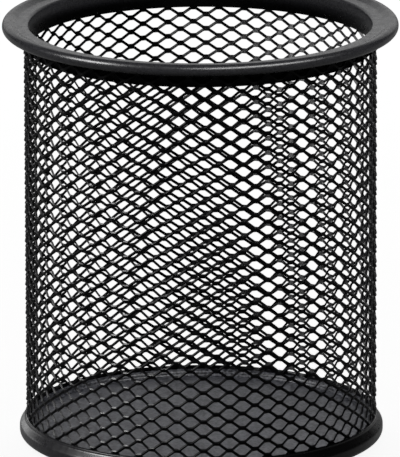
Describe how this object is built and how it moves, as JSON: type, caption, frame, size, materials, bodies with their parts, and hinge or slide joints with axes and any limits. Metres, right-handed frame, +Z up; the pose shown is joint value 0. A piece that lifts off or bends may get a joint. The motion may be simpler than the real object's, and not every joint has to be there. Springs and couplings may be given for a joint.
{
  "type": "pen holder cup",
  "caption": "Round open-topped pen holder cup: an expanded steel mesh wall between a rolled, flanged rim and a curled foot, with a solid floor and a non-slip pad.",
  "frame": {"origin": "centre of the plane that the cup stands on, which is the underside of the base pad", "axes": "+Z up the cup's axis, out of its mouth; the cup is round, so +X and +Y only fix where the mesh's cells start"},
  "size_m": [0.09, 0.09, 0.0975],
  "materials": {
    "mesh_powder_coat": "satin black powder coat over expanded steel",
    "rim_powder_coat": "satin black powder coat",
    "pan_powder_coat": "satin black powder coat with a fine grain",
    "foot_powder_coat": "satin black powder coat",
    "pad_foam": "matt closed-cell foam rubber"
  },
  "bodies": {
    "root": {"mesh_wall": "mesh_powder_coat", "rim_ring": "rim_powder_coat", "floor_pan": "pan_powder_coat", "foot_ring": "foot_powder_coat", "base_pad": "pad_foam"}
  },
  "joints": []
}
